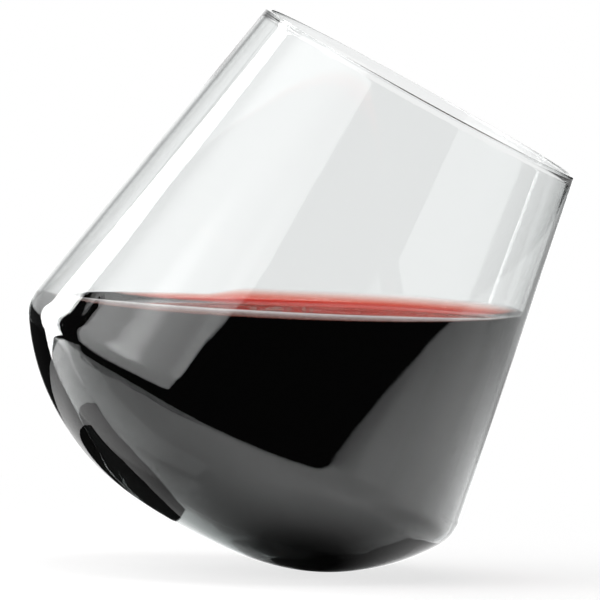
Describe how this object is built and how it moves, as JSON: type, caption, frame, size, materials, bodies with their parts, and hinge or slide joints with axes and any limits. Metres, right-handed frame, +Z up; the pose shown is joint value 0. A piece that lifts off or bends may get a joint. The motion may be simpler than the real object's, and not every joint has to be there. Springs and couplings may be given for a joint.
{
  "type": "stemless wine glass",
  "caption": "Stemless wine glass with a round rocking base, leaning, half full of red wine whose surface is level.",
  "frame": {"origin": "on the table, under the middle of the leaning glass", "axes": "+Z is up, square to the table and to the wine's surface; +X is the way the lip leans; +Y points away from someone who sees the glass lean to their right"},
  "size_m": [0.1118, 0.1, 0.1159],
  "materials": {
    "clear_glass": "clear blown glass, fire polished",
    "red_wine": "dark clear liquid, ruby where it is thin"
  },
  "bodies": {
    "root": {"glass_bowl": "clear_glass", "red_wine": "red_wine"}
  },
  "joints": []
}
